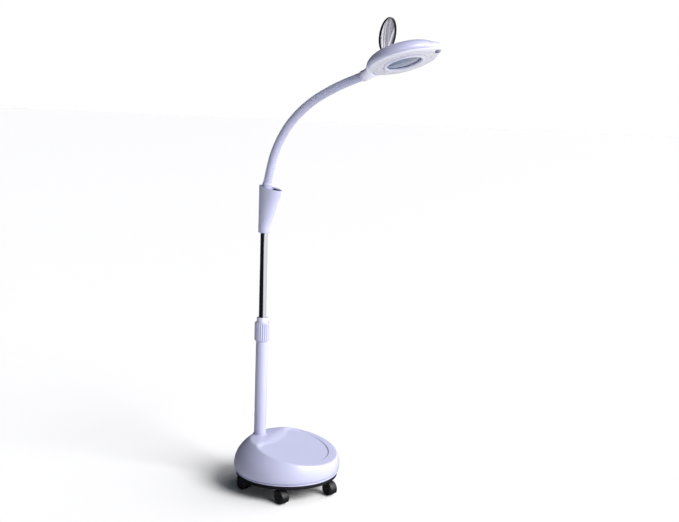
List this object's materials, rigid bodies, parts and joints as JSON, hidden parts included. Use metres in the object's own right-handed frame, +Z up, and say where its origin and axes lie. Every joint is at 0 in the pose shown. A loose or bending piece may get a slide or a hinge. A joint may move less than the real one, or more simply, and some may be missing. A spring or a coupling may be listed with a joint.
{
  "type": "magnifying lamp",
  "caption": "Magnifying floor lamp: round lit lens head with a smoked flip lid on a flexible neck, telescopic column, and a heavy domed base on twin-wheel casters.",
  "frame": {"origin": "on the floor under the middle of the whole lamp's box, at rest", "axes": "+X from the column towards the head, +Z up the column, +Y to the column's left when looking towards the head"},
  "size_m": [0.5967, 0.32, 1.4002],
  "materials": {
    "white_plastic": "satin white moulding",
    "white_paint": "satin white paint",
    "white_sleeve": "soft white corrugated sleeve",
    "black_plastic": "fine-grained black",
    "chrome": "polished",
    "steel": "zinc plated",
    "cast_iron": "as cast",
    "lens_glass": "polished",
    "clear_plastic": "clear cover",
    "smoked_plastic": "smoked, glossy",
    "grey_plastic": "satin",
    "rubber": "moulded"
  },
  "bodies": {
    "base": {"base_plate": "black_plastic", "base_weight": "cast_iron", "base_cover": "white_plastic", "cover_screw_1": "steel", "cover_screw_2": "steel", "cover_screw_3": "steel", "cover_screw_4": "steel", "cord_gland": "rubber", "caster_1_stem": "steel", "caster_2_stem": "steel", "caster_3_stem": "steel", "caster_4_stem": "steel", "caster_5_stem": "steel", "column_socket": "steel", "outer_tube": "white_paint", "clamp_collet": "white_plastic"},
    "caster_1": {"caster_1_housing": "black_plastic", "caster_1_axle": "steel"},
    "caster_1_wheel_left": {"caster_1_wheel_left": "black_plastic"},
    "caster_1_wheel_right": {"caster_1_wheel_right": "black_plastic"},
    "caster_2": {"caster_2_housing": "black_plastic", "caster_2_axle": "steel"},
    "caster_2_wheel_left": {"caster_2_wheel_left": "black_plastic"},
    "caster_2_wheel_right": {"caster_2_wheel_right": "black_plastic"},
    "caster_3": {"caster_3_housing": "black_plastic", "caster_3_axle": "steel"},
    "caster_3_wheel_left": {"caster_3_wheel_left": "black_plastic"},
    "caster_3_wheel_right": {"caster_3_wheel_right": "black_plastic"},
    "caster_4": {"caster_4_housing": "black_plastic", "caster_4_axle": "steel"},
    "caster_4_wheel_left": {"caster_4_wheel_left": "black_plastic"},
    "caster_4_wheel_right": {"caster_4_wheel_right": "black_plastic"},
    "caster_5": {"caster_5_housing": "black_plastic", "caster_5_axle": "steel"},
    "caster_5_wheel_left": {"caster_5_wheel_left": "black_plastic"},
    "caster_5_wheel_right": {"caster_5_wheel_right": "black_plastic"},
    "clamp_nut": {"clamp_nut": "white_plastic"},
    "slide": {"slide_bush": "rubber"},
    "mast": {"chrome_tube": "chrome", "switch_cup": "white_plastic", "cup_deck": "white_plastic", "switch_frame": "black_plastic", "neck_root": "white_sleeve"},
    "rocker": {"switch_rocker": "black_plastic"},
    "neck_1": {"neck_link_1": "white_sleeve"},
    "neck_2": {"neck_link_2": "white_sleeve"},
    "neck_3": {"neck_link_3": "white_sleeve"},
    "neck_4": {"neck_link_4": "white_sleeve"},
    "neck_5": {"neck_link_5": "white_sleeve"},
    "head": {"head_ferrule": "white_plastic", "head_upper_housing": "white_plastic", "head_lower_housing": "white_plastic", "lens": "lens_glass", "lens_retaining_ring": "white_plastic", "light_board": "grey_plastic", "light_ring_cover": "clear_plastic", "lid_pin": "steel"},
    "button": {"head_button": "grey_plastic"},
    "lid": {"lid": "smoked_plastic"}
  },
  "joints": [
    {"name": "caster_1_swivel", "type": "hinge", "parent": "base", "child": "caster_1", "pos_m": [0.00004, 0, 0.042], "axis": [0, 0, 1], "continuous": true},
    {"name": "caster_1_wheel_left_spin", "type": "hinge", "parent": "caster_1", "child": "caster_1_wheel_left", "pos_m": [0.00738, -0.00319, 0.02], "axis": [0.3987, 0.9171, 0], "continuous": true},
    {"name": "caster_1_wheel_right_spin", "type": "hinge", "parent": "caster_1", "child": "caster_1_wheel_right", "pos_m": [0.00738, -0.00319, 0.02], "axis": [0.3987, 0.9171, 0], "continuous": true},
    {"name": "caster_2_swivel", "type": "hinge", "parent": "base", "child": "caster_2", "pos_m": [-0.09462, 0.13029, 0.042], "axis": [0, 0, 1], "continuous": true},
    {"name": "caster_2_wheel_left_spin", "type": "hinge", "parent": "caster_2", "child": "caster_2_wheel_left", "pos_m": [-0.08729, 0.1271, 0.02], "axis": [0.3987, 0.9171, 0], "continuous": true},
    {"name": "caster_2_wheel_right_spin", "type": "hinge", "parent": "caster_2", "child": "caster_2_wheel_right", "pos_m": [-0.08729, 0.1271, 0.02], "axis": [0.3987, 0.9171, 0], "continuous": true},
    {"name": "caster_3_swivel", "type": "hinge", "parent": "base", "child": "caster_3", "pos_m": [-0.2478, 0.08053, 0.042], "axis": [0, 0, 1], "continuous": true},
    {"name": "caster_3_wheel_left_spin", "type": "hinge", "parent": "caster_3", "child": "caster_3_wheel_left", "pos_m": [-0.24046, 0.07734, 0.02], "axis": [0.3987, 0.9171, 0], "continuous": true},
    {"name": "caster_3_wheel_right_spin", "type": "hinge", "parent": "caster_3", "child": "caster_3_wheel_right", "pos_m": [-0.24046, 0.07734, 0.02], "axis": [0.3987, 0.9171, 0], "continuous": true},
    {"name": "caster_4_swivel", "type": "hinge", "parent": "base", "child": "caster_4", "pos_m": [-0.2478, -0.08053, 0.042], "axis": [0, 0, 1], "continuous": true},
    {"name": "caster_4_wheel_left_spin", "type": "hinge", "parent": "caster_4", "child": "caster_4_wheel_left", "pos_m": [-0.24046, -0.08372, 0.02], "axis": [0.3987, 0.9171, 0], "continuous": true},
    {"name": "caster_4_wheel_right_spin", "type": "hinge", "parent": "caster_4", "child": "caster_4_wheel_right", "pos_m": [-0.24046, -0.08372, 0.02], "axis": [0.3987, 0.9171, 0], "continuous": true},
    {"name": "caster_5_swivel", "type": "hinge", "parent": "base", "child": "caster_5", "pos_m": [-0.09462, -0.13029, 0.042], "axis": [0, 0, 1], "continuous": true},
    {"name": "caster_5_wheel_left_spin", "type": "hinge", "parent": "caster_5", "child": "caster_5_wheel_left", "pos_m": [-0.08729, -0.13348, 0.02], "axis": [0.3987, 0.9171, 0], "continuous": true},
    {"name": "caster_5_wheel_right_spin", "type": "hinge", "parent": "caster_5", "child": "caster_5_wheel_right", "pos_m": [-0.08729, -0.13348, 0.02], "axis": [0.3987, 0.9171, 0], "continuous": true},
    {"name": "clamp_nut_turn", "type": "hinge", "parent": "base", "child": "clamp_nut", "pos_m": [-0.23196, 0, 0.4727], "axis": [0, 0, 1], "range_deg": [0, 180]},
    {"name": "mast_height", "type": "slide", "parent": "base", "child": "slide", "axis": [0, 0, 1], "range_m": [-0.245, 0.035]},
    {"name": "mast_turn", "type": "hinge", "parent": "slide", "child": "mast", "pos_m": [-0.23196, 0, 0.3647], "axis": [0, 0, 1], "range_deg": [-170, 170]},
    {"name": "switch_rock", "type": "hinge", "parent": "mast", "child": "rocker", "pos_m": [-0.19518, 0, 0.9008], "axis": [0, 1, 0], "range_deg": [-14, 0]},
    {"name": "neck_1_bend", "type": "hinge", "parent": "mast", "child": "neck_1", "pos_m": [-0.22337, 0, 0.93082], "axis": [0, 1, 0], "range_deg": [-20, 20]},
    {"name": "neck_2_sway", "type": "hinge", "parent": "neck_1", "child": "neck_2", "pos_m": [-0.20037, 0, 1.01793], "axis": [-0.9269, 0, 0.3753], "range_deg": [-20, 20]},
    {"name": "neck_3_bend", "type": "hinge", "parent": "neck_2", "child": "neck_3", "pos_m": [-0.15684, 0, 1.09551], "axis": [0, 1, 0], "range_deg": [-20, 20]},
    {"name": "neck_4_sway", "type": "hinge", "parent": "neck_3", "child": "neck_4", "pos_m": [-0.09326, 0, 1.15777], "axis": [-0.6099, 0, 0.7925], "range_deg": [-20, 20]},
    {"name": "neck_5_bend", "type": "hinge", "parent": "neck_4", "child": "neck_5", "pos_m": [-0.01669, 0, 1.20336], "axis": [0, 1, 0], "range_deg": [-20, 20]},
    {"name": "head_turn", "type": "hinge", "parent": "neck_5", "child": "head", "pos_m": [0.06559, 0, 1.23791], "axis": [-0.3647, 0, 0.9311], "range_deg": [-20, 20]},
    {"name": "button_press", "type": "slide", "parent": "head", "child": "button", "axis": [-0.3391, 0.1305, 0.9317], "range_m": [0, 0.0015], "stiffness_N_per_m": 600, "springref_m": -0.001},
    {"name": "lid_hinge", "type": "hinge", "parent": "head", "child": "lid", "pos_m": [0.12405, 0.00499, 1.29949], "axis": [0.0446, 0.9914, -0.1227], "range_deg": [-25, 61]}
  ]
}
